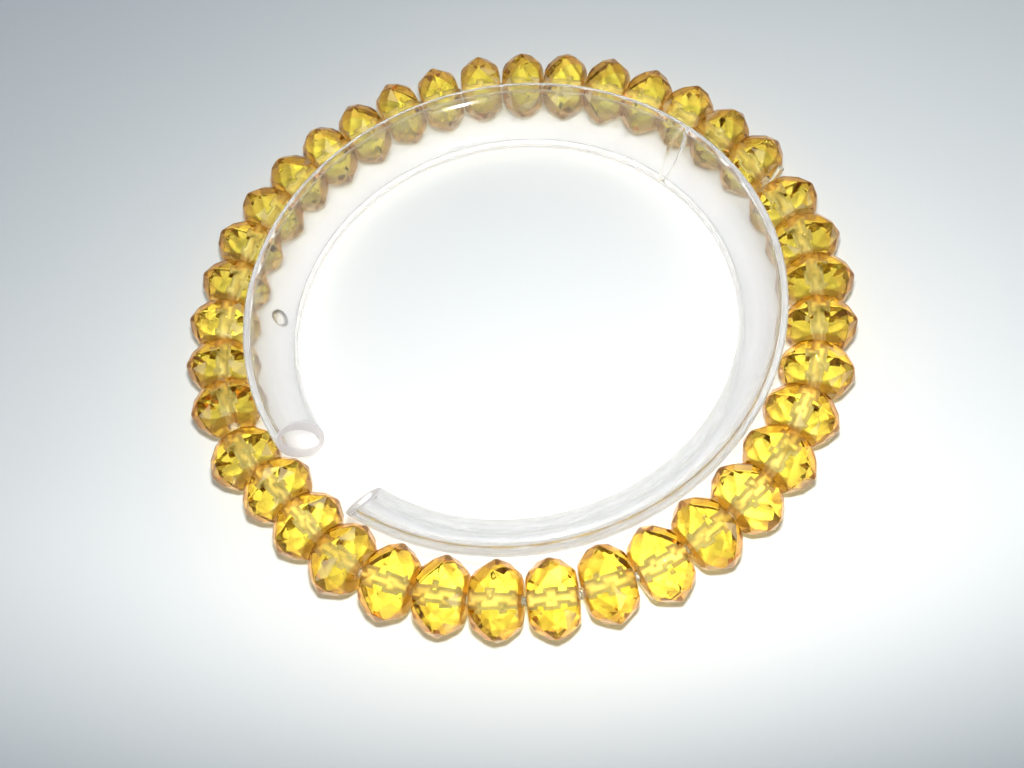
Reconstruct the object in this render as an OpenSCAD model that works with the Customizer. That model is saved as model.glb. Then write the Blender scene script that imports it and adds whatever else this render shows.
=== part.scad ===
// Stretch bracelet of faceted amber crystal beads, lying on a surface and held round by a clear
// open display ring of flattened tube. Millimetres, +Z up, origin at the middle of the ring of
// beads on the surface. The open gap of the display ring faces the lower left, towards -X and -Y.

/* [Beads] */
// Width of a bead across its sharp edge
bead_d = 8.2; // [7.8:0.1:8.3]
// Length of a bead along the thread, between its two flat tables
bead_t = 5.1; // [4.6:0.1:5.1]
// Hole drilled through each bead
bore_d = 1.25; // [1.2:0.05:1.6]
// Number of facets round a bead
facets = 10; // [8:1:12]
// How far a bead may lean on the loose thread, in degrees
bead_lean = 2.5; // [0:0.5:3]
// How far a bead may slip outwards on the loose thread
bead_slip = 0.2; // [0:0.05:0.3]

/* [Thread] */
// Radius of the circle that the thread follows through the beads
thread_r = 33.4; // [33:0.1:35]
// Thickness of the clear elastic thread
thread_d = 0.8; // [0.6:0.1:0.9]
// Where the knot sits, counted anticlockwise from +X, in degrees
knot_angle = 19; // [15:0.5:25]
// Room that the knot keeps between its two beads
knot_gap = 1.5; // [1:0.1:2]
// Thickness of the knot
knot_d = 1.9; // [1.4:0.1:2.2]
// Free end of the thread that stands out of the knot
tail_length = 2.8; // [2:0.1:3.5]

/* [Display ring] */
// Radius of the ring, to the middle of its tube
ring_r = 27.5; // [26:0.1:27.6]
// Height of the middle of its tube above the surface
ring_z = 5.1; // [5:0.1:6]
// Thickness of the flattened tube, through the ring
tube_t = 3.5; // [3:0.1:3.6]
// Height of the flattened tube
tube_h = 7.9; // [7:0.1:8]
// Wall of the tube
tube_wall = 0.85; // [0.6:0.05:1]
// How far the top of the tube leans outwards over the beads, in degrees
tube_lean = 26; // [20:1:28]
// Direction of the middle of the open gap, in degrees
gap_angle = 218; // [214:1:222]
// Half of the straight run of thread that cuts across the gap, in degrees of the circle
gap_half = 14; // [12:0.1:16]
// Extra room between the two beads where the thread turns on to that straight run
corner_gap = 1.4; // [1:0.1:1.6]
// Extra room between the two beads where it turns back on to the circle
return_gap = 0.2; // [0.2:0.1:0.8]

/* [Hidden] */
bead_count = 38;
thread_name = "elastic_thread";
ring_name = "display_ring";
// How far a cutting solid reaches past what it cuts
spare = 1;

// The facets of a bead. Seen from the side they run from the sharp girdle over the shoulder, the
// crown and the rim to the flat table. The crown and the rim lie where the kites stay flat.
bead_r = bead_d / 2;
facet_step = 360 / facets;
shrink = cos(facet_step / 2);
shoulder_r = 0.89 * bead_r;
shoulder_a = 0.215 * bead_t;
crown_a = 0.42 * bead_t;
rim_a = 0.475 * bead_t;
table_a = bead_t / 2;
table_r = 0.3 * bead_r;
crown_r = bead_r - (bead_r - shoulder_r * shrink) * crown_a / shoulder_a;
rim_fall = (shoulder_r - crown_r * shrink) / (crown_a - shoulder_a);
rim_r = shoulder_r - rim_fall * (rim_a - shoulder_a);
// Steps by which the beads turn and lean, so that no two neighbours look alike, in degrees
spin_step = 137.5;
lean_step = 100;
yaw_step = 73;
slip_step = 151;

// The thread: an arc from the knot to the gap, a straight run across the gap, and an arc back.
// corner_bead is the last bead before the straight run, and return_bead the last bead on it.
corner_bead = 19;
return_bead = 23;
first_arc = thread_r * radians(gap_angle - gap_half - knot_angle);
gap_chord = 2 * thread_r * sin(gap_half);
thread_length = thread_r * radians(360 - 2 * gap_half) + gap_chord;
pitch = (thread_length - knot_gap - corner_gap - return_gap) / bead_count;
thread_sides = 8;
thread_z = bead_r * (1 + shrink) / 2;
knot_length = 1.4;
tail_rise = 60;

// The cut ends of the display ring, and the small round mark moulded in its upper inner face.
// Each end is [direction in degrees, turn seen from above, tip forwards, side of the gap].
ring_ends = [[208.7, 27, 10, 1], [230, -23, -31, -1]];
// The tube is made longer by end_spare degrees at each end, and cut back by a cube this wide
end_spare = 9;
cutter = 20;
// Direction, width and depth of the mark, and how far it sits above the middle of the tube's height
mark_angle = 176;
mark_d = 1.7;
mark_depth = 0.25;
mark_up = 1.2;

function bead_name(i) = str("bead_", i < 10 ? "0" : "", i);
function radians(a) = a * PI / 180;
function degrees(a) = a * 180 / PI;
function polar(r, a) = [r * cos(a), r * sin(a)];

// Point of the thread's line at a distance s along it from the knot
function thread_point(s) =
    s < first_arc ? polar(thread_r, knot_angle + degrees(s / thread_r))
    : s < first_arc + gap_chord
    ? polar(thread_r * cos(gap_half), gap_angle) + polar(s - first_arc - gap_chord / 2, gap_angle + 90)
    : polar(thread_r, gap_angle + gap_half + degrees((s - first_arc - gap_chord) / thread_r));

// Distance of a bead along the thread. Bead 0 is the last one, and the one after the last is bead 1.
function bead_along(i) =
    let (lap = floor((i - 1) / bead_count), k = i - lap * bead_count)
    lap * thread_length + knot_gap / 2 + (k - 0.5) * pitch
    + (k > corner_bead ? corner_gap : 0) + (k > return_bead ? return_gap : 0);

// Direction of the thread at a bead, from the bead before it to the bead after it
function bead_heading(i) =
    let (way = thread_point(bead_along(i + 1)) - thread_point(bead_along(i - 1)))
    atan2(way.y, way.x);

// Each bead is let down until its lowest girdle corner meets the surface
function bead_spin(i) = (i * spin_step) % facet_step;
function bead_z(i) = bead_r * cos(bead_spin(i) - facet_step / 2);

// Middle of a bead, and how its hole points: [tilt upwards, direction seen from above]
function bead_spot(i) =
    let (
        slip = bead_slip * (1 + sin(i * slip_step)) / 2,
        p = thread_point(bead_along(i)) + polar(slip, bead_heading(i) - 90)
    )
    [p.x, p.y, bead_z(i)];
function bead_turn(i) = [bead_lean * sin(i * lean_step), bead_heading(i) + bead_lean * cos(i * yaw_step)];
function bead_hole_end(i, side) =
    let (turn = bead_turn(i), p = polar(cos(turn[0]), turn[1]))
    bead_spot(i) + side * bead_t / 2 * [p.x, p.y, sin(turn[0])];

// One ring of facet corners, at radius r and distance a along the hole, turned by half a step or not
function corners(r, a, half) =
    [for (k = [0 : facets - 1]) let (p = polar(r, (k + half) * facet_step)) [p.x, p.y, a]];

// Facets of one side of a bead, between the rings of corners that start at the points g (girdle),
// s (shoulder), c (crown), r (rim) and t (table)
function side_facets(g, s, c, r, t) = concat(
    [for (k = [0 : facets - 1]) let (n = (k + 1) % facets) each [
        [g + k, s + k, g + n],
        [g + n, s + k, c + n, s + n],
        [s + k, c + k, r + k, c + n],
        [c + n, r + k, r + n],
        [r + k, t + k, t + n, r + n]
    ]],
    [[for (k = [facets - 1 : -1 : 0]) t + k]]
);

function turned(faces) = [for (f = faces) [for (k = [len(f) - 1 : -1 : 0]) f[k]]];

// Solid crystal before it is drilled, with its hole along Z
module cut_crystal() {
    // Rings of corners from the girdle to the table: [radius, distance along the hole, turn in steps]
    side = [
        [shoulder_r, shoulder_a, 0.5],
        [crown_r, crown_a, 0],
        [rim_r, rim_a, 0.5],
        [table_r, table_a, 0.5]
    ];
    points = concat(
        corners(bead_r, 0, 0),
        [for (row = side) each corners(row[0], row[1], row[2])],
        [for (row = side) each corners(row[0], -row[1], row[2])]
    );
    start = [for (k = [0 : 2 * len(side)]) k * facets];
    polyhedron(points, concat(
        side_facets(start[0], start[1], start[2], start[3], start[4]),
        turned(side_facets(start[0], start[5], start[6], start[7], start[8]))
    ));
}

// Bead i in its place on the thread: X outwards from the thread's line, Y along it
module bead(i) {
    turn = bead_turn(i);
    color("goldenrod")
        translate(bead_spot(i))
            rotate([turn[0], 0, turn[1] - 90])
                rotate([90, 0, 0])
                    rotate(bead_spin(i))
                        difference() {
                            cut_crystal();
                            cylinder(h = bead_t + 2 * spare, d = bore_d, center = true, $fn = 48);
                        }
}

// Points that the thread's tube is swept through, each with its radius: first those that shape the
// knot, and then both ends of each bead's hole
function thread_stations() = concat(
    [for (k = [-2 : 2]) let (u = k / 2, p = thread_point(u * knot_length / 2))
        [[p.x, p.y, thread_z], knot_swell(u)]],
    [for (i = [1 : bead_count], side = [-1, 1]) [bead_hole_end(i, side), thread_d / 2]]
);
function knot_swell(u) = max(thread_d, knot_d * sqrt(1 - u * u)) / 2;

// One ring of the thread's tube, round the point here and square to the way from last to next
function thread_ring(last, here, next, r) =
    let (way = [next.x - last.x, next.y - last.y], out = way / norm(way))
    [for (k = [0 : thread_sides - 1]) let (p = polar(r, k * 360 / thread_sides))
        here + [p.x * out.y, -p.x * out.x, p.y]];

// Clear elastic thread: a closed loop through all beads, with its knot and the free end of the knot
module elastic_thread() {
    stations = thread_stations();
    count = len(stations);
    points = [for (j = [0 : count - 1])
        let (last = stations[(j + count - 1) % count][0], next = stations[(j + 1) % count][0])
        each thread_ring(last, stations[j][0], next, stations[j][1])];
    faces = [for (j = [0 : count - 1], k = [0 : thread_sides - 1])
        let (j2 = (j + 1) % count, k2 = (k + 1) % thread_sides)
        [j * thread_sides + k, j * thread_sides + k2, j2 * thread_sides + k2, j2 * thread_sides + k]];
    knot = thread_point(0);
    color("white") {
        polyhedron(points, faces);
        translate([knot.x, knot.y, thread_z])
            rotate([0, 90 - tail_rise, knot_angle])
                cylinder(h = tail_length, d = thread_d, $fn = 24);
    }
}

// Section of the flattened tube, made narrower all round by inset
module tube_section(inset) {
    scale([(tube_t / 2 - inset) / (tube_h / 2 - inset), 1])
        circle(tube_h / 2 - inset, $fn = 96);
}

// Clear display ring: flattened tube bent round, open at the gap, with slanted cut ends
module display_ring() {
    first = ring_ends[1][0] - end_spare;
    turn = 360 - (ring_ends[1][0] - ring_ends[0][0]) + 2 * end_spare;
    color("lavender")
        difference() {
            rotate(first)
                rotate_extrude(angle = turn, $fn = 180)
                    translate([ring_r, ring_z])
                        rotate(-tube_lean)
                            difference() {
                                tube_section(0);
                                tube_section(tube_wall);
                            }
            for (end = ring_ends)
                end_cut(end);
            rotate(mark_angle)
                translate([ring_r, 0, ring_z])
                    rotate([0, tube_lean, 0])
                        translate([-tube_t / 2, 0, mark_up])
                            round_mark();
        }
}

// What the slanted cut takes off one end of the tube: it stays on its own side of the gap's middle
module end_cut(end) {
    direction = end[0];
    turn = end[1];
    tip = end[2];
    side = end[3];
    middle = (ring_ends[0][0] + ring_ends[1][0]) / 2;
    reach = 2 * ring_r;
    intersection() {
        rotate(direction)
            translate([ring_r, 0, ring_z])
                rotate([tip, 0, turn])
                    translate([0, side * cutter / 2, 0])
                        cube(cutter, center = true);
        linear_extrude(cutter)
            polygon([[0, 0], polar(reach, middle), polar(reach, middle - side * 2 * end_spare)]);
    }
}

// Ball that leaves a round dimple of the mark's size in a face at X 0
module round_mark() {
    ball_r = (mark_d * mark_d / 4 + mark_depth * mark_depth) / (2 * mark_depth);
    translate([mark_depth - ball_r, 0, 0])
        sphere(ball_r, $fn = 64);
}

for (i = [1 : bead_count])
    bead(i);
elastic_thread();
display_ring();
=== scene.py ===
"""A stretch bracelet of faceted amber crystal beads, held round by its clear display ring.

The sections follow the object as it is put together: where it lies and how it is lit, the beads, the
elastic thread with its knot, and the display ring that holds it out.
Everything is in metres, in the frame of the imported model.
"""

import bpy
import numpy as np
from mathutils import Matrix, Vector


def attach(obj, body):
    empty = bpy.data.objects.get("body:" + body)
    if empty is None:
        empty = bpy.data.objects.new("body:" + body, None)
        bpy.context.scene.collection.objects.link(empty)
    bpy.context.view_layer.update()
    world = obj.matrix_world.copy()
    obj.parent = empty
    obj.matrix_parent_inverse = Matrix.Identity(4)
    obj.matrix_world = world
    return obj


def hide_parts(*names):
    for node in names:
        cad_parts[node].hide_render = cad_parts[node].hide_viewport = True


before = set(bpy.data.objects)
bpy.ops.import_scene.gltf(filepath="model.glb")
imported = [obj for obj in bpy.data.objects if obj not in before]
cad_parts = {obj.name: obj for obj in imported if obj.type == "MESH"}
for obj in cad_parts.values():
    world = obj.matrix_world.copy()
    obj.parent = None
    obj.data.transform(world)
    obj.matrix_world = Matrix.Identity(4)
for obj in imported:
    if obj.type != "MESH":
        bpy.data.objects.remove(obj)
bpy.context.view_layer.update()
mm = 0.001

# Camera
# A compact camera held about 11 cm from the bracelet, looking down at it from the front and turned a
# little anticlockwise in the hand.
camera_place = Vector((4.0, -57.0, 93.1)) * mm
camera_aim = Vector((-1.3, -7.7, 0.0)) * mm
camera_roll = np.radians(-14.2)
camera_data = bpy.data.cameras.new("camera")
camera_data.lens = 32.8
camera_data.sensor_width = 36.0
camera_data.clip_start = 1 * mm
camera = bpy.data.objects.new("camera", camera_data)
bpy.context.scene.collection.objects.link(camera)
ahead = (camera_aim - camera_place).normalized()
level_right = ahead.cross(Vector((0, 0, 1))).normalized()
level_up = level_right.cross(ahead)
turned_right = np.cos(camera_roll) * level_right + np.sin(camera_roll) * level_up
turned_up = np.cos(camera_roll) * level_up - np.sin(camera_roll) * level_right
camera_turn = Matrix((turned_right, turned_up, -ahead)).transposed()
camera.matrix_world = Matrix.Translation(camera_place) @ camera_turn.to_4x4()
bpy.context.scene.camera = camera


# Surface that it lies on
# A sheet of smooth white card with a faint grain.
def linear(code):
    """Turns an sRGB hex colour such as "f4f6f6" into the linear red, green, blue and alpha of a shader."""
    values = np.array([int(code[k : k + 2], 16) for k in (0, 2, 4)]) / 255
    low, high = values / 12.92, ((values + 0.055) / 1.055) ** 2.4
    return (*np.where(values <= 0.04045, low, high).tolist(), 1.0)


def add_node(tree, kind, settings=None, **sockets):
    """Adds a node, gives it its settings, and sets or links its inputs. An input goes by its name with _
    for a space, or by its number after a _ where several have one name."""
    node = tree.nodes.new("ShaderNode" + kind)
    for name, value in (settings or {}).items():
        setattr(node, name, value)
    for name, value in sockets.items():
        socket = node.inputs[int(name[1:]) if name[1:].isdigit() else name.replace("_", " ")]
        if isinstance(value, bpy.types.NodeSocket):
            tree.links.new(value, socket)
        else:
            socket.default_value = value
    return node


def mix_colours(tree, factor, first, second):
    """Mixes two colours by a factor that runs from 0 to 1."""
    node = add_node(tree, "Mix", {"data_type": "RGBA"}, _0=factor, _6=first, _7=second)
    return node.outputs[2]


def ramp(tree, value, from_min, from_max, to_min=0.0, to_max=1.0):
    """Carries a value in a straight line from one range into another, and holds it at the ends."""
    span = {"From_Min": from_min, "From_Max": from_max, "To_Min": to_min, "To_Max": to_max}
    return add_node(tree, "MapRange", Value=value, **span).outputs["Result"]


def mottle(tree, place, size, detail):
    """Soft irregular noise from 0 to 1, in patches about size across."""
    return add_node(tree, "TexNoise", Vector=place, Scale=1 / size, Detail=detail).outputs["Fac"]


def bumps(tree, height, strength, depth):
    """Normals of a skin that rises by up to depth where the height, from 0 to 1, is greater."""
    return add_node(tree, "Bump", Height=height, Strength=strength, Distance=depth).outputs["Normal"]


def mix_finishes(tree, share, first, second):
    """Mixes two finishes by the share of the second."""
    return add_node(tree, "MixShader", _0=share, _1=first, _2=second).outputs["Shader"]


def scatter_both_ways(tree, colour):
    """Matt finish that throws half of the light back and lets the other half on through."""
    back = add_node(tree, "BsdfDiffuse", Color=colour).outputs["BSDF"]
    on_through = add_node(tree, "BsdfTranslucent", Color=colour).outputs["BSDF"]
    return mix_finishes(tree, 0.5, back, on_through)


def lit_through(tree, finish, cast):
    """Lets the flash shine through a clear piece, tinted by the colour cast, while the eye still sees
    the finish of the piece itself."""
    clear = add_node(tree, "BsdfTransparent", Color=cast).outputs["BSDF"]
    shadow_ray = add_node(tree, "LightPath").outputs["Is Shadow Ray"]
    return mix_finishes(tree, shadow_ray, finish, clear)


def new_material(name):
    """A material with an empty node tree."""
    material = bpy.data.materials.new(name)
    material.use_nodes = True
    material.node_tree.nodes.clear()
    return material, material.node_tree


def surface_object(name, points, faces, material, sheet=None):
    """A smooth-shaded mesh object at the origin, from arrays of points in metres and of faces. Where
    sheet gives two distances in millimetres for each point, they become its UV map."""
    mesh = bpy.data.meshes.new(name)
    mesh.from_pydata(np.asarray(points).reshape(-1, 3).tolist(), [], np.asarray(faces).tolist())
    mesh.polygons.foreach_set("use_smooth", np.ones(len(mesh.polygons), bool))
    if sheet is not None:
        corner_points = np.zeros(len(mesh.loops), np.int32)
        mesh.loops.foreach_get("vertex_index", corner_points)
        layer = mesh.uv_layers.new(name="sheet")
        layer.uv.foreach_set("vector", np.asarray(sheet).reshape(-1, 2)[corner_points].ravel())
    mesh.materials.append(material)
    mesh.update()
    made = bpy.data.objects.new(name, mesh)
    bpy.context.scene.collection.objects.link(made)
    return made


def grid_faces(rows, columns, wrap_rows, wrap_columns):
    """Four-sided faces of a grid of points numbered row by row, closed on itself where it wraps."""
    r = np.arange(rows if wrap_rows else rows - 1)[:, None]
    c = np.arange(columns if wrap_columns else columns - 1)[None, :]
    next_r, next_c = (r + 1) % rows, (c + 1) % columns
    corners = [r * columns + c, r * columns + next_c, next_r * columns + next_c, next_r * columns + c]
    return np.stack(np.broadcast_arrays(*corners), -1).reshape(-1, 4)


card_half = 400 * mm
card_height = -0.01 * mm
card_count = 9
card_steps = np.linspace(-card_half, card_half, card_count)
card_x, card_y = np.meshgrid(card_steps, card_steps)
card_points = np.stack([card_x, card_y, np.full_like(card_x, card_height)], -1)
card_material, tree = new_material("smooth_white_card")
place = add_node(tree, "TexCoord").outputs["Object"]
grain = mottle(tree, place, 0.6 * mm, 3.0)
clouds = mottle(tree, place, 30 * mm, 2.0)
card = add_node(
    tree,
    "BsdfPrincipled",
    Base_Color=mix_colours(tree, clouds, linear("f1f4f5"), linear("f5f6f6")),
    Roughness=0.55,
    Specular_IOR_Level=0.1,
    Normal=bumps(tree, grain, 0.08, 0.02 * mm),
)
add_node(tree, "OutputMaterial", Surface=card.outputs["BSDF"])
card_faces = grid_faces(card_count, card_count, False, False)
floor = surface_object("floor", card_points, card_faces, card_material)

# Light
# The camera's own flash, a small bright window above the lens, whose beam fades towards the corners of
# the picture.
flash_above_lens = 15 * mm
flash_data = bpy.data.lights.new("flash", "SPOT")
flash_data.shadow_soft_size = 4 * mm
flash_data.spot_size = np.radians(168)
flash_data.spot_blend = 0.39
flash_data.energy = 0.47
flash_data.color = linear("fffdf7")[:3]
flash = bpy.data.objects.new("flash", flash_data)
bpy.context.scene.collection.objects.link(flash)
flash_place = camera_place + Vector(flash_above_lens * turned_up)
flash_aim = Vector((24, 261, 0)) * mm
flash_turn = (flash_aim - flash_place).to_track_quat("-Z", "Y")
flash.matrix_world = Matrix.Translation(flash_place) @ flash_turn.to_matrix().to_4x4()

# The room lights the card only dimly and coolly. The crystal and the plastic mirror it brighter, and most
# of all from overhead, because the flash that the card throws back lights up what stands round about.
# It does so in light and dark patches, which make neighbouring facets differ.
dark_patch = (0.3, 0.26, 0.2, 1.0)
low_light_patch = (0.9, 0.87, 0.84, 1.0)
overhead_light_patch = (2.5, 2.45, 2.4, 1.0)
dim_cool_light = (0.095, 0.145, 0.2, 1.0)
plain_grey = (0.3, 0.32, 0.34, 1.0)
room = bpy.data.worlds.new("room")
bpy.context.scene.world = room
room.use_nodes = True
tree = room.node_tree
tree.nodes.clear()
sky = add_node(tree, "TexCoord").outputs["Generated"]
height = add_node(tree, "SeparateXYZ", Vector=sky).outputs["Z"]
patches = add_node(tree, "TexNoise", Vector=sky, Scale=3.5, Detail=1.0).outputs["Fac"]
light_patch = mix_colours(tree, ramp(tree, height, 0.3, 1.0), low_light_patch, overhead_light_patch)
round_about = mix_colours(tree, ramp(tree, patches, 0.45, 0.57), dark_patch, light_patch)
path = add_node(tree, "LightPath")
room_glow = mix_colours(tree, path.outputs["Is Diffuse Ray"], round_about, dim_cool_light)
seen_or_lit = mix_colours(tree, path.outputs["Is Camera Ray"], room_glow, plain_grey)
room_light = add_node(tree, "Background", Color=seen_or_lit, Strength=1.0)
add_node(tree, "OutputWorld", Surface=room_light.outputs["Background"])
bpy.context.scene.view_settings.view_transform = "Standard"

# Beads
# Rondelles of amber crystal glass, cut with ten facets round the girdle and polished in fire, which
# rounds every edge a little. The drill leaves their bores ground matt. Facets seen at a slant get a
# painted orange shade, and the upward ones a painted orange sheen, for the deep amber of the rims.
facet_turn = np.radians(12)
polished_edge = 0.14 * mm
weld_reach = 0.001 * mm
ground_share = 0.27
bead_names = sorted(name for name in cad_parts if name.startswith("bead_"))
crystal, tree = new_material("amber_crystal_glass")
slant = add_node(tree, "LayerWeight", Blend=0.5).outputs["Facing"]
place = add_node(tree, "TexCoord").outputs["Object"]
polish = mottle(tree, place, 1.1 * mm, 2.0)
# The base colour turns orange on facets seen at a slant: painted shade for the long way light takes
# through the rims
glass = add_node(
    tree,
    "BsdfPrincipled",
    Base_Color=mix_colours(tree, ramp(tree, slant, 0.12, 0.7), linear("f6f3ea"), linear("d8903c")),
    Roughness=0.01,
    IOR=1.57,
    Specular_Tint=linear("f4d470"),
    Transmission_Weight=1.0,
    Normal=bumps(tree, polish, 0.12, 0.15 * mm),
)
# Painted reflection: an orange glossy sheen on slanted facets, strongest on those that face up
painted_sheen_colour = mix_colours(tree, ramp(tree, slant, 0.55, 0.9), linear("cc7820"), linear("ecc090"))
painted_orange_sheen = add_node(tree, "BsdfGlossy", Color=painted_sheen_colour, Roughness=0.2)
facing = add_node(tree, "NewGeometry").outputs["Normal"]
facing_up = add_node(tree, "SeparateXYZ", Vector=facing).outputs["Z"]
by_slant = ramp(tree, slant, 0.1, 0.8, 0.0, 0.5)
by_facing_up = ramp(tree, facing_up, -0.8, 0.3)
painted_sheen_share = add_node(tree, "Math", {"operation": "MULTIPLY"}, _0=by_slant, _1=by_facing_up)
with_painted_sheen = mix_finishes(tree, painted_sheen_share.outputs["Value"], glass.outputs["BSDF"], painted_orange_sheen.outputs["BSDF"])
# Facets that slope away from the flash send its light elsewhere: their shadow is brown. The ones that
# face it gather the light into bright patches on the card under the bead, with dimmer ones between
brown_shadow = (0.32, 0.25, 0.19, 1.0)
bright_patch = (1.3, 1.3, 1.34, 1.0)
dimmer_patch = (0.34, 0.28, 0.18, 1.0)
patches = mottle(tree, place, 1.6 * mm, 1.0)
gathered = mix_colours(tree, ramp(tree, patches, 0.45, 0.54), dimmer_patch, bright_patch)
cast = mix_colours(tree, ramp(tree, slant, 0.5, 0.0), brown_shadow, gathered)
# The ground walls of the bores scatter a good part of the light
ground = add_node(tree, "Attribute", {"attribute_name": "ground"}).outputs["Fac"]
scatter = scatter_both_ways(tree, linear("fff4dc"))
half_ground = mix_finishes(tree, ramp(tree, ground, 0.0, 1.0, 0.0, ground_share), with_painted_sheen, scatter)
surface = lit_through(tree, half_ground, cast)
# The glass swallows blue first and then green: thin places are lemon, thick ones golden
tint = add_node(tree, "VolumeAbsorption", Color=(0.86, 0.835, 0.0, 1.0), Density=196.0)
add_node(tree, "OutputMaterial", Surface=surface, Volume=tint.outputs["Volume"])

# The bores come smooth-shaded: they are marked as ground, and then every edge that turns by more than
# facet_turn is made sharp
facet_shading = bpy.data.node_groups.new("flat_facets_ground_bores", "GeometryNodeTree")
facet_shading.interface.new_socket("Geometry", in_out="INPUT", socket_type="NodeSocketGeometry")
facet_shading.interface.new_socket("Geometry", in_out="OUTPUT", socket_type="NodeSocketGeometry")
group_in = facet_shading.nodes.new("NodeGroupInput")
is_bore = facet_shading.nodes.new("GeometryNodeInputShadeSmooth")
mark_ground = facet_shading.nodes.new("GeometryNodeStoreNamedAttribute")
mark_ground.domain = "FACE"
mark_ground.data_type = "FLOAT"
mark_ground.inputs["Name"].default_value = "ground"
all_smooth = facet_shading.nodes.new("GeometryNodeSetShadeSmooth")
edge_angle = facet_shading.nodes.new("GeometryNodeInputMeshEdgeAngle")
is_facet_edge = facet_shading.nodes.new("FunctionNodeCompare")
is_facet_edge.inputs[1].default_value = facet_turn
facets_flat = facet_shading.nodes.new("GeometryNodeSetShadeSmooth")
facets_flat.domain = "EDGE"
facets_flat.inputs["Shade Smooth"].default_value = False
group_out = facet_shading.nodes.new("NodeGroupOutput")
facet_shading.links.new(group_in.outputs[0], mark_ground.inputs["Geometry"])
facet_shading.links.new(is_bore.outputs[0], mark_ground.inputs["Value"])
facet_shading.links.new(mark_ground.outputs[0], all_smooth.inputs["Geometry"])
facet_shading.links.new(all_smooth.outputs[0], facets_flat.inputs["Geometry"])
facet_shading.links.new(edge_angle.outputs["Unsigned Angle"], is_facet_edge.inputs[0])
facet_shading.links.new(is_facet_edge.outputs[0], facets_flat.inputs["Selection"])
facet_shading.links.new(facets_flat.outputs[0], group_out.inputs[0])
for name in bead_names:
    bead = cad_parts[name]
    bead.data.materials.clear()
    bead.data.materials.append(crystal)
    weld = bead.modifiers.new("weld", "WELD")
    weld.merge_threshold = weld_reach
    shading = bead.modifiers.new("flat_facets_ground_bore", "NODES")
    shading.node_group = facet_shading
    edges = bead.modifiers.new("fire_polished_edges", "BEVEL")
    edges.width = polished_edge
    edges.segments = 3
    edges.limit_method = "ANGLE"
    edges.angle_limit = facet_turn
    edges.harden_normals = True

# Elastic thread
# Clear elastic cord, 0.8 mm thick, run through all the beads and tied in an overhand knot between the
# last and the first. One end of the knot is cut short and stands up and out.
bead_half = 2.55 * mm
girdle_share = 0.95
thread_radius = 0.4 * mm
thread_sides = 14
steps_between = 5


def bore_line(node):
    """Middle and direction of a bead's bore. The corners of the girdle are the ones farthest from the
    middle, they ring it evenly, and the bore stands square to the flat ring that they make. The middle
    is found in three rounds, each from the girdle of the one before."""
    flat = np.zeros(len(node.data.vertices) * 3, np.float32)
    node.data.vertices.foreach_get("co", flat)
    corners = np.unique(flat.reshape(-1, 3).round(7), axis=0).astype(float)
    middle = (corners.min(0) + corners.max(0)) / 2
    for _ in range(3):
        far = np.linalg.norm(corners - middle, axis=1)
        girdle = corners[far > girdle_share * far.max()]
        middle = girdle.mean(0)
    return middle, np.linalg.svd(girdle - middle, full_matrices=False)[2][2]


bores = [bore_line(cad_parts[name]) for name in bead_names]
bore_middles = np.array([middle for middle, way in bores])
bore_ways = np.array([way for middle, way in bores])
onward = np.roll(bore_middles, -1, 0) - np.roll(bore_middles, 1, 0)
bore_ways *= np.sign((bore_ways * onward).sum(1))[:, None]


def tube_rings(line, ways, tops, radii):
    """Rings of a round cord: each stands square to its way round its point of the line, and starts at
    its top, a direction that is first made square to the way."""
    tops = tops - (tops * ways).sum(-1, keepdims=True) * ways
    tops /= np.linalg.norm(tops, axis=-1, keepdims=True)
    side = np.cross(ways, tops)
    angle = np.linspace(0, 2 * np.pi, thread_sides, endpoint=False)
    ring = np.cos(angle)[:, None] * tops[:, None, :] + np.sin(angle)[:, None] * side[:, None, :]
    return line[:, None, :] + radii[:, None, None] * ring


bore_ends = np.stack([bore_middles - bore_ways * bead_half, bore_middles + bore_ways * bead_half], 1)
bore_ends = bore_ends.reshape(-1, 3)
knot_middle = (bore_ends[0] + bore_ends[-1]) / 2
up_way = np.array([0.0, 0.0, 1.0])


def smooth_loop(points, steps):
    """Closed smooth curve through points: between two of them it is the cubic whose slope at each point
    is half the way from the point before to the point after."""
    before, after, last = np.roll(points, 1, 0), np.roll(points, -1, 0), np.roll(points, -2, 0)
    t = np.linspace(0, 1, steps, endpoint=False)[None, :, None]
    p0, p1, p2, p3 = (p[:, None, :] for p in (before, points, after, last))
    curve = 2 * p1 + (p2 - p0) * t + (2 * p0 - 5 * p1 + 4 * p2 - p3) * t**2
    return ((curve + (3 * p1 - p0 - 3 * p2 + p3) * t**3) / 2).reshape(-1, 3)


def along(line, closed):
    """Unit directions along a line of points."""
    step = np.roll(line, -1, 0) - np.roll(line, 1, 0) if closed else np.gradient(line, axis=0)
    return step / np.linalg.norm(step, axis=1, keepdims=True)


cord_line = smooth_loop(np.vstack([bore_ends, knot_middle[None]]), steps_between)
cord_radii = np.full(len(cord_line), thread_radius)
cord_points = tube_rings(cord_line, along(cord_line, True), up_way, cord_radii)
cord_faces = grid_faces(len(cord_line), thread_sides, True, True)

# The knot is a trefoil turn of the cord drawn tight, x = sin t + 2 sin 2t, y = cos t - 2 cos 2t and
# z = -sin 3t, where t goes once round. Its flat side lies between the two beads.
knot_direction = np.radians(19)
knot_turns = np.linspace(0, 2 * np.pi, 96, endpoint=False)
knot_size = 0.19 * mm
knot_depth = 1.2
knot_cord_radius = 0.33 * mm
knot_shape = np.stack(
    [
        -knot_depth * np.sin(3 * knot_turns),
        np.sin(knot_turns) + 2 * np.sin(2 * knot_turns),
        np.cos(knot_turns) - 2 * np.cos(2 * knot_turns),
    ],
    -1,
)
out_way = np.array([np.cos(knot_direction), np.sin(knot_direction), 0.0])
side_way = np.array([-out_way[1], out_way[0], 0.0])
knot_line = knot_middle + knot_size * knot_shape @ np.array([side_way, out_way, up_way])

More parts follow.
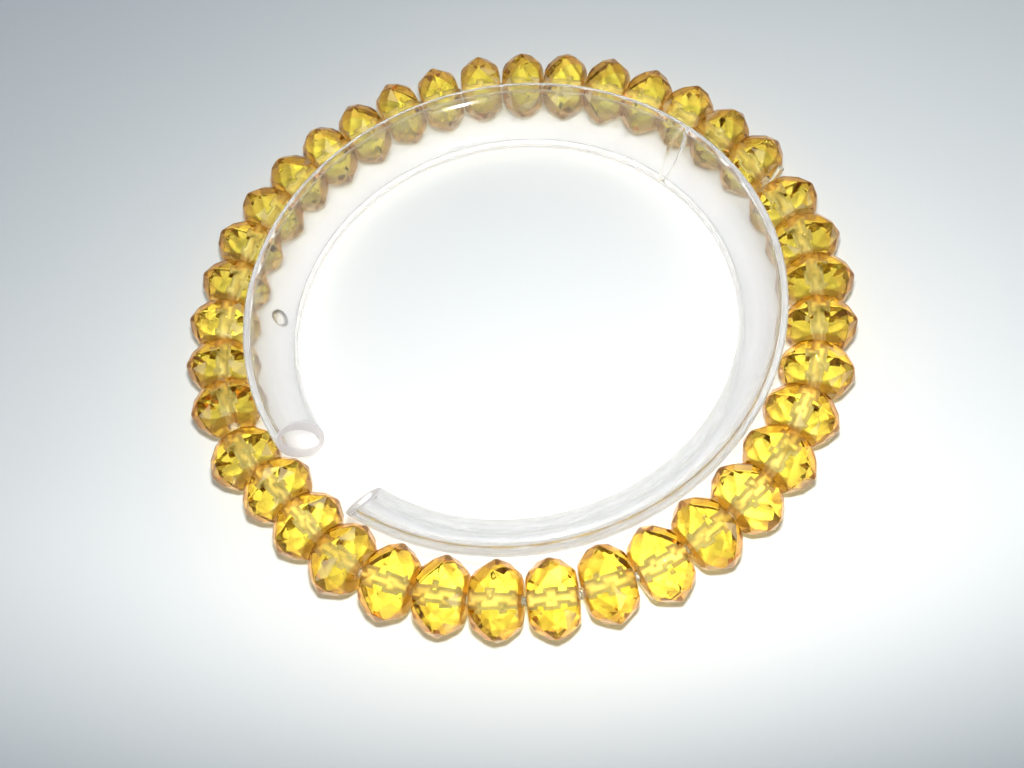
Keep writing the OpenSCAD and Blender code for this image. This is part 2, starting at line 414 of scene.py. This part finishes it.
# The rings' tops point away from the middle of the knot, which its cord goes round but never through
knot_tops = knot_line - knot_middle
knot_radii = np.full(len(knot_line), knot_cord_radius)
knot_points = tube_rings(knot_line, along(knot_line, True), knot_tops, knot_radii)
knot_faces = grid_faces(len(knot_line), thread_sides, True, True)

# The free end: it rises out of the knot, bends up a little and ends in a clean cut with a soft rim
tail_rise = np.radians(60)
tail_length = 2.72 * mm
tail_bend = 0.16 * mm
tail_way = np.cos(tail_rise) * out_way + np.sin(tail_rise) * up_way
tail_steps = np.linspace(0, 1, 16)[:, None]
tail_line = knot_middle + tail_steps * tail_length * tail_way - tail_bend * tail_steps**2 * out_way
tail_ways = along(tail_line, False)
rim_turns = np.linspace(0, np.pi / 2, 4)[1:]
rim_round = 0.08 * mm
rim_line = tail_line[-1] + rim_round * np.sin(rim_turns)[:, None] * tail_ways[-1]
rim_radii = thread_radius - rim_round * (1 - np.cos(rim_turns))
cut_radii = np.array([0.6, 0.3, 0.01]) * thread_radius
tail_radii = np.concatenate([np.full(len(tail_line), thread_radius), rim_radii, cut_radii])
tail_line = np.vstack([tail_line, rim_line, np.repeat(rim_line[-1:], len(cut_radii), 0)])
tail_ways = np.vstack([tail_ways, np.repeat(tail_ways[-1:], len(tail_line) - len(tail_ways), 0)])
tail_points = tube_rings(tail_line, tail_ways, up_way, tail_radii)
tail_faces = grid_faces(len(tail_line), thread_sides, False, True)

elastic, tree = new_material("clear_elastic_cord")
place = add_node(tree, "TexCoord").outputs["Object"]
drawn = mottle(tree, place, 0.5 * mm, 2.0)
stretchy_plastic = add_node(
    tree,
    "BsdfPrincipled",
    Base_Color=mix_colours(tree, drawn, linear("f4f4ee"), linear("fdfdfa")),
    Roughness=0.1,
    IOR=1.45,
    Transmission_Weight=0.93,
)
surface = lit_through(tree, stretchy_plastic.outputs["BSDF"], linear("efefe8"))
add_node(tree, "OutputMaterial", Surface=surface)
cord_parts = [(cord_points, cord_faces), (knot_points, knot_faces), (tail_points, tail_faces)]
part_sizes = [points.shape[0] * points.shape[1] for points, faces in cord_parts]
part_starts = np.concatenate([[0], np.cumsum(part_sizes)[:-1]])
all_points = np.concatenate([points.reshape(-1, 3) for points, faces in cord_parts])
all_faces = np.concatenate([faces + start for (points, faces), start in zip(cord_parts, part_starts)])
cord = surface_object("elastic_cord", all_points, all_faces, elastic)
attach(cord, "root")
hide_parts("elastic_thread")

# Display ring
# A length of soft clear plastic tube, pressed flat and bent to an open ring, with both ends cut at a
# slant by a knife that leaves them matt. The plastic is faintly milky, so what lies behind is paler.
ring_radius = 27.5 * mm
ring_height = 5.1 * mm
tube_half_through = 1.75 * mm
tube_half_up = 3.95 * mm
tube_wall = 0.85 * mm
tube_lean = np.radians(26)
# Each cut end: direction, turn seen from above and tip forwards, in degrees
cut_ends = {"left": (208.7, 27, 10), "right": (230, -23, -31)}
section_sides = 144
section_angle = np.linspace(0, 2 * np.pi, section_sides, endpoint=False)


def tube_section(through, up):
    """Radius and height of a point of the tube's section, from its place through and up the tube."""
    radius = ring_radius + through * np.cos(tube_lean) + up * np.sin(tube_lean)
    return radius, ring_height - through * np.sin(tube_lean) + up * np.cos(tube_lean)


def oval(inset):
    """Places through and up the tube of the oval section, drawn in by inset."""
    through = (tube_half_through - inset) * np.cos(section_angle)
    return through, (tube_half_up - inset) * np.sin(section_angle)


def cut_direction(radius, height, end):
    """Direction, round the ring, at which a line of the tube meets the slanted cut of an end. The cut
    is a plane, so the direction solves a cos + b sin + c = 0, and of the two answers the near one is
    taken."""
    direction, turn, tip = np.radians(cut_ends[end])
    face = direction + turn
    normal = np.array([-np.sin(face) * np.cos(tip), np.cos(face) * np.cos(tip), np.sin(tip)])
    through = np.array([ring_radius * np.cos(direction), ring_radius * np.sin(direction), ring_height])
    a, b = radius * normal[0], radius * normal[1]
    c = height * normal[2] - through @ normal
    middle, half = np.arctan2(b, a), np.arccos(np.clip(-c / np.hypot(a, b), -1, 1))
    answers = np.stack([middle + half, middle - half])
    off = (answers - direction + np.pi) % (2 * np.pi) - np.pi
    return direction + np.where(abs(off[0]) < abs(off[1]), off[0], off[1])


# Directions run from the right cut end round to the left one, so they pass 360 degrees. The stations
# round the ring stand closer together near the mark and the seam.
ring_start, ring_end = np.radians(cut_ends["right"][0]), np.radians(cut_ends["left"][0] + 360)
mark_direction, seam_direction = np.radians(176 + 360), np.radians(38 + 360)
near_mark = mark_direction + np.radians(np.linspace(-2.6, 2.6, 33))
near_seam = seam_direction + np.radians(np.linspace(-1.2, 1.2, 17))
even_stations = np.linspace(ring_start, ring_end, 190)
stations = np.unique(np.concatenate([even_stations, near_mark, near_seam]).round(6))
cut_reach = np.radians(16)
cut_edge_round = 0.1 * mm
# The small round mark in the tube's inner face and the shallow seam that runs round it
mark_up = 0.5 * mm
mark_half_along = 0.95 * mm
mark_half_up = 1.05 * mm
mark_depth = 0.3 * mm
mark_rim_height = 0.12 * mm
mark_rim_middle = 1.08
mark_rim_width = 0.13
seam_half = 0.22 * mm
seam_depth = 0.1 * mm


def ring_point(radius, height, direction):
    """Points from their radius, their height and their direction round the ring."""
    return np.stack([radius * np.cos(direction), radius * np.sin(direction), height], -1)


def mark_distance(direction, up):
    """Distance from the middle of the mark, where 1 is its edge."""
    past_mark = (direction - mark_direction) * ring_radius / mark_half_along
    return np.hypot(past_mark, (up - mark_up) / mark_half_up)


def ring_wall(inset):
    """Points of the tube's outer or inner wall, a row for each station round the ring. Towards an end
    the stations slide along until the last one stands just short of the slanted cut. The outer wall
    is pressed in at the mark, by a round bowl with a low rim, and along the seam."""
    through, up = (np.broadcast_to(part, (len(stations), section_sides)) for part in oval(inset))
    radius, height = tube_section(through, up)
    short = cut_edge_round / radius[0]
    first = cut_direction(radius[0], height[0], "right") + short - ring_start
    last = cut_direction(radius[0], height[0], "left") - short + 2 * np.pi - ring_end
    ease_in = np.clip(1 - (stations - ring_start) / cut_reach, 0, 1)[:, None] ** 2
    ease_out = np.clip(1 - (ring_end - stations) / cut_reach, 0, 1)[:, None] ** 2
    direction = stations[:, None] + first * ease_in + last * ease_out
    if inset == 0:
        from_mark = mark_distance(direction, up)
        bowl = mark_depth * np.clip(1 - from_mark**2, 0, 1)
        rim = mark_rim_height * np.exp(-(((from_mark - mark_rim_middle) / mark_rim_width) ** 2))
        pressed = np.where(through < 0, bowl - rim, 0)
        groove = seam_depth * np.exp(-(((direction - seam_direction) * ring_radius / seam_half) ** 2))
        through = through * (1 - groove / tube_half_through) + pressed
        radius, height = tube_section(through, up * (1 - groove / tube_half_up))
    return ring_point(radius, height, direction)


def cut_rows(end):
    """Rows of an end's cut face, from the outer wall to the inner one. At each wall the edge is
    rounded: the inset grows with 1 - cos and the row nears the cut with sin of a quarter turn."""
    quarter = np.linspace(0, np.pi / 2, 4)[1:]
    insets = cut_edge_round * (1 - np.cos(quarter))
    shorts = cut_edge_round * (1 - np.sin(quarter))
    flat_insets = np.linspace(cut_edge_round, tube_wall - cut_edge_round, 6)[1:-1]
    all_insets = np.concatenate([insets, flat_insets, tube_wall - insets[::-1]])
    all_shorts = np.concatenate([shorts, np.zeros(len(flat_insets)), shorts[::-1]])
    backwards = 1 if end == "right" else -1
    lap = 0 if end == "right" else 2 * np.pi
    rows = []
    for inset, short in zip(all_insets, all_shorts):
        radius, height = tube_section(*oval(inset))
        direction = cut_direction(radius, height, end) + lap + backwards * short / radius
        rows.append(ring_point(radius, height, direction))
    return np.array(rows)


wall_rows = {"outer": ring_wall(0.0), "inner": ring_wall(tube_wall)}
ring_rows = [wall_rows["outer"], cut_rows("left"), wall_rows["inner"][::-1], cut_rows("right")[::-1]]
ring_points = np.concatenate(ring_rows)
ring_faces = grid_faces(len(ring_points), section_sides, True, True)[:, ::-1]
cut_count = len(ring_rows[1])
# The tube's UV map is its skin laid flat, in millimetres round the ring and round the section
at_left, at_right = np.full(cut_count, stations[-1]), np.full(cut_count, stations[0])
length_round = np.concatenate([stations, at_left, stations[::-1], at_right]) * ring_radius / mm
half_girth = 9.6
girth = np.abs(np.linspace(-1, 1, section_sides)) * half_girth
tube_sheet = np.stack(np.broadcast_arrays(length_round[:, None], girth), -1)

clear_plastic, tree = new_material("soft_clear_plastic_tube")
sheet = add_node(tree, "UVMap", {"uv_map": "sheet"}).outputs["UV"]
drawn_out = add_node(tree, "Mapping", Vector=sheet, Scale=(0.02, 1.0, 1.0)).outputs["Vector"]
draw_lines = mottle(tree, drawn_out, 1.0, 3.0)
slant = add_node(tree, "LayerWeight", Blend=0.5).outputs["Facing"]
plastic = add_node(
    tree,
    "BsdfPrincipled",
    Base_Color=mix_colours(tree, slant, linear("eff0f1"), linear("dcdcde")),
    Roughness=0.16,
    IOR=1.15,
    Transmission_Weight=0.985,
    Coat_Weight=0.3,
    Coat_Roughness=0.06,
    Coat_IOR=1.4,
    Normal=bumps(tree, draw_lines, 0.05, 0.1 * mm),
)
# Where the eye or the light goes along the wall and not straight through it, the milk in it shows
milk = scatter_both_ways(tree, linear("eef0f2"))
milky = mix_finishes(tree, ramp(tree, slant, 0.45, 0.85, 0.0, 0.45), plastic.outputs["BSDF"], milk)
along_draw_line, between_draw_lines = (0.83, 0.84, 0.86, 1.0), (0.94, 0.94, 0.95, 1.0)
along_wall = (0.5, 0.5, 0.52, 1.0)
straight_through = mix_colours(tree, draw_lines, along_draw_line, between_draw_lines)
veil = mix_colours(tree, ramp(tree, slant, 0.75, 0.1), along_wall, straight_through)
surface = lit_through(tree, milky, veil)
add_node(tree, "OutputMaterial", Surface=surface)

cut_plastic, tree = new_material("knife_cut_plastic")
place = add_node(tree, "TexCoord").outputs["Object"]
drag = add_node(tree, "Mapping", Vector=place, Scale=(1 / mm, 1 / mm, 9 / mm)).outputs["Vector"]
knife_lines = mottle(tree, drag, 1.0, 3.0)
matt_plastic = add_node(
    tree,
    "BsdfPrincipled",
    Base_Color=mix_colours(tree, knife_lines, linear("cac4c8"), linear("dcd8da")),
    Roughness=0.4,
    IOR=1.25,
    Transmission_Weight=0.35,
    Normal=bumps(tree, knife_lines, 0.3, 0.05 * mm),
)
surface = lit_through(tree, matt_plastic.outputs["BSDF"], (0.6, 0.6, 0.62, 1.0))
add_node(tree, "OutputMaterial", Surface=surface)

# The seam looks grey where it is seen at a slant. Along the mark's edge a grey ring is painted: painted
# shade for the dark that its curved rim shows
rippled_plastics = []
for name, edge_colour in (("rippled_plastic_seam", "cfcfca"), ("rippled_plastic_mark", "606066")):
    rippled_plastic, tree = new_material(name)
    rippled_plastics.append(rippled_plastic)
    place = add_node(tree, "TexCoord").outputs["Object"]
    ripples = mottle(tree, place, 0.4 * mm, 2.0)
    slant = add_node(tree, "LayerWeight", Blend=0.5).outputs["Facing"]
    # The mark's grey ring is painted shade, read from the attribute stored on the tube
    ring = add_node(tree, "Attribute", {"attribute_name": "mark_painted_shade"}).outputs["Fac"]
    greyed = ring if name == "rippled_plastic_mark" else slant
    rippled = add_node(
        tree,
        "BsdfPrincipled",
        Base_Color=mix_colours(tree, greyed, linear("f6f5f0"), linear(edge_colour)),
        Roughness=0.05,
        IOR=1.5,
        Transmission_Weight=0.9,
        Normal=bumps(tree, ripples, 0.5, 0.1 * mm),
    )
    surface = lit_through(tree, rippled.outputs["BSDF"], (0.7, 0.7, 0.72, 1.0))
    add_node(tree, "OutputMaterial", Surface=surface)

tube = surface_object("display_tube", ring_points, ring_faces, clear_plastic, tube_sheet)
tube.data.materials.append(cut_plastic)
for rippled_plastic in rippled_plastics:
    tube.data.materials.append(rippled_plastic)
# The kind of each face numbers its material: 0 tube, 1 cut, 2 seam and 3 mark
mark_rim_edge = 1.2
grey_middle = 0.95
grey_width = 0.22
row_cut = np.concatenate([np.full(len(rows), kind % 2) for kind, rows in enumerate(ring_rows)])
face_kind = np.repeat(np.maximum(row_cut, np.roll(row_cut, -1))[:, None], section_sides, 1)
through, up = oval(0.0)
from_mark = mark_distance(stations[:, None], up)
within_mark = (from_mark < mark_rim_edge) & (through < 0)
within_seam = abs(stations - seam_direction) * ring_radius < seam_half
face_kind[: len(stations)][within_seam] = 2
face_kind[: len(stations)][within_mark] = 3
tube.data.polygons.foreach_set("material_index", face_kind.ravel().astype(np.int32))
# Painted shade of the mark's ring: most along its edge, fading to both sides
edge_shade = np.zeros((len(ring_points), section_sides))
edge_shade[: len(stations)] = np.exp(-(((from_mark - grey_middle) / grey_width) ** 2))
mark_painted_shade = tube.data.attributes.new("mark_painted_shade", "FLOAT", "POINT")
mark_painted_shade.data.foreach_set("value", edge_shade.ravel())
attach(tube, "root")
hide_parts("display_ring")
